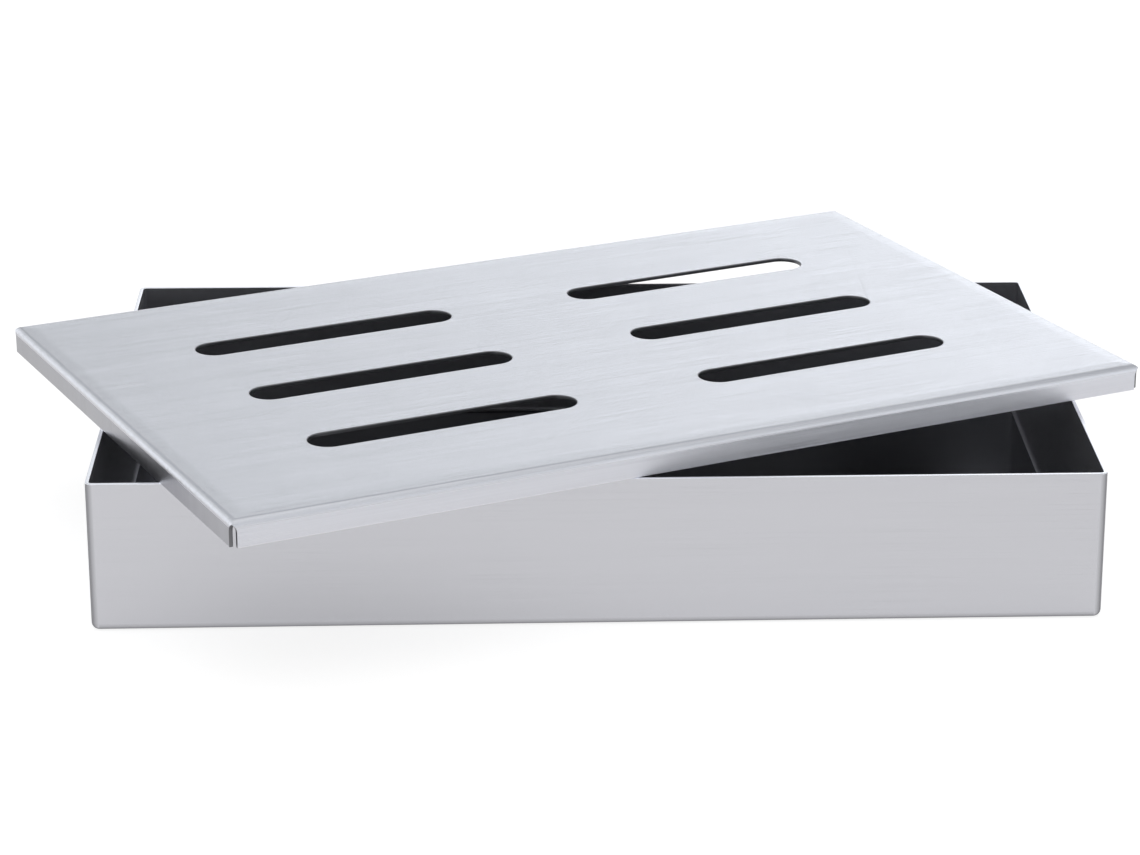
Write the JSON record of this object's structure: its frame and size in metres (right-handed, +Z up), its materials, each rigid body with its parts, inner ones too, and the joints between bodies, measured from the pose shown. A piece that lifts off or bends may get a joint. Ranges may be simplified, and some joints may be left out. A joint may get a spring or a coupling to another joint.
{
  "type": "smoker box",
  "caption": "Shallow folded sheet-steel tray for wood chips with a loose slotted lid lying askew on its rim.",
  "frame": {"origin": "centre of the tray's flat underside, on the surface it stands on", "axes": "+X along the tray's length to its right, +Y to its back, +Z up"},
  "size_m": [0.2454, 0.2074, 0.0377],
  "materials": {
    "tray_steel": "brushed along the walls",
    "seam_steel": "ground weld",
    "lid_steel": "brushed along its length"
  },
  "bodies": {
    "tray": {"tray_pan": "tray_steel", "tray_corner_seams": "seam_steel"},
    "lid": {"lid": "lid_steel"}
  },
  "joints": [
    {"name": "lid_lift", "type": "slide", "parent": "tray", "child": "lid", "axis": [0, 0, 1], "range_m": [0, 0.08]}
  ]
}
